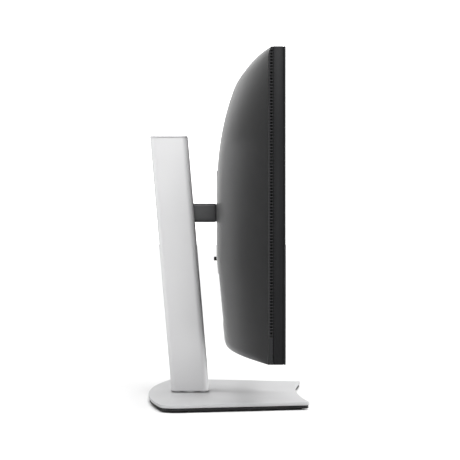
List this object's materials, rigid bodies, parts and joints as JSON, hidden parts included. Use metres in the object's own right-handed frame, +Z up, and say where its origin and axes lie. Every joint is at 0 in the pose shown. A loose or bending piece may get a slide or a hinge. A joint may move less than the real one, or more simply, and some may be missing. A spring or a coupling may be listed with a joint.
{
  "type": "computer monitor",
  "caption": "Curved ultrawide desktop monitor with a charcoal domed head on a silver leaning column that lifts, tilts, swivels and slants, on a flat plate base.",
  "frame": {"origin": "on the desk, below the centre of the whole footprint", "axes": "+Z up, the screen faces -Y, +X to the viewer's right"},
  "size_m": [0.815, 0.2072, 0.4353],
  "materials": {
    "charcoal_plastic": "fine moulded texture, matte",
    "arm_paint": "satin dark grey",
    "silver_paint": "satin silver",
    "black_plastic": "matte",
    "rubber": "matte",
    "screen_glass": "anti-glare",
    "steel": "zinc plated",
    "spring_steel": "polished strip",
    "circuit_board": "solder resist",
    "socket_metal": "nickel plated",
    "light_pipe": "clear moulded"
  },
  "bodies": {
    "base": {"base_plate": "silver_paint", "base_underside": "black_plastic", "foot_front_left": "rubber", "foot_front_right": "rubber", "foot_rear_left": "rubber", "foot_rear_right": "rubber"},
    "column": {"swivel_disc": "steel", "swivel_retainer": "steel", "base_screw": "steel", "column_foot": "steel", "column_shell": "silver_paint", "column_cap": "silver_paint", "cable_hole_lining": "black_plastic", "lift_rail": "steel", "spring_band": "spring_steel"},
    "screw_ring": {"screw_ring": "steel"},
    "carriage": {"lift_carriage": "steel", "glide_pad_left": "black_plastic", "glide_pad_right": "black_plastic", "spring_axle": "steel", "arm": "arm_paint"},
    "spring_coil": {"spring_coil": "spring_steel"},
    "tilt_head": {"tilt_bracket": "steel", "slant_retainer": "steel", "tilt_shaft": "steel", "shaft_nut": "steel", "friction_washer_left": "spring_steel", "friction_washer_right": "spring_steel"},
    "display": {"mount_plate": "steel", "mount_cover": "charcoal_plastic", "rear_cover": "charcoal_plastic", "middle_frame": "charcoal_plastic", "front_bezel": "charcoal_plastic", "lcd_panel": "screen_glass", "backlight_unit": "black_plastic", "chassis_plate": "steel", "mount_frame": "steel", "cover_screw_1": "steel", "cover_screw_2": "steel", "cover_screw_3": "steel", "cover_screw_4": "steel", "main_board": "circuit_board", "port_board": "circuit_board", "power_board": "circuit_board", "joystick_board": "circuit_board", "hdmi_socket": "socket_metal", "displayport_socket": "socket_metal", "usb_c_socket": "socket_metal", "usb_a_socket_1": "socket_metal", "usb_a_socket_2": "socket_metal", "ethernet_socket": "socket_metal", "audio_socket": "black_plastic", "mains_inlet": "black_plastic", "power_light": "light_pipe"},
    "release_button": {"release_button": "black_plastic"},
    "power_button": {"power_button": "black_plastic"},
    "joystick_gimbal": {"joystick_gimbal": "black_plastic"},
    "joystick_stem": {"joystick_stem": "black_plastic"},
    "joystick_cap": {"joystick_cap": "rubber"}
  },
  "joints": [
    {"name": "column_swivel", "type": "hinge", "parent": "base", "child": "column", "pos_m": [0, 0.0485, 0.0124], "axis": [0, 0, 1], "range_deg": [-30, 30]},
    {"name": "ring_fold", "type": "hinge", "parent": "column", "child": "screw_ring", "pos_m": [0, 0.0485, 0.0062], "axis": [1, 0, 0], "range_deg": [0, 85]},
    {"name": "lift", "type": "slide", "parent": "column", "child": "carriage", "axis": [0, 0.084, 0.9965], "range_m": [-0.035, 0.08]},
    {"name": "spring_coil_turn", "type": "hinge", "parent": "carriage", "child": "spring_coil", "pos_m": [0, 0.07249, 0.1956], "axis": [1, 0, 0], "range_deg": [-420, 185]},
    {"name": "tilt", "type": "hinge", "parent": "carriage", "child": "tilt_head", "pos_m": [0, 0.003, 0.2476], "axis": [-1, 0, 0], "range_deg": [-5, 21]},
    {"name": "slant", "type": "hinge", "parent": "tilt_head", "child": "display", "pos_m": [0, 0.003, 0.2476], "axis": [0, 1, 0], "range_deg": [-4, 4]},
    {"name": "release_press", "type": "slide", "parent": "display", "child": "release_button", "axis": [0, -1, 0], "range_m": [0, 0.003], "stiffness_N_per_m": 500, "springref_m": -0.002},
    {"name": "power_press", "type": "slide", "parent": "display", "child": "power_button", "axis": [0, 0, 1], "range_m": [0, 0.0006], "stiffness_N_per_m": 900, "springref_m": -0.0005},
    {"name": "joystick_pitch", "type": "hinge", "parent": "display", "child": "joystick_gimbal", "pos_m": [0.3, -0.03308, 0.105], "axis": [1, 0, 0], "range_deg": [-10, 10], "stiffness_Nm_per_rad": 0.05},
    {"name": "joystick_yaw", "type": "hinge", "parent": "joystick_gimbal", "child": "joystick_stem", "pos_m": [0.3, -0.03308, 0.105], "axis": [0, 0, 1], "range_deg": [-10, 10], "stiffness_Nm_per_rad": 0.05},
    {"name": "joystick_press", "type": "slide", "parent": "joystick_stem", "child": "joystick_cap", "axis": [0, -1, 0], "range_m": [0, 0.0008], "stiffness_N_per_m": 800, "springref_m": -0.0005}
  ],
  "couplings": [
    {"joint": "spring_coil_turn", "follows": "lift", "rad_per_m": -90.909}
  ]
}
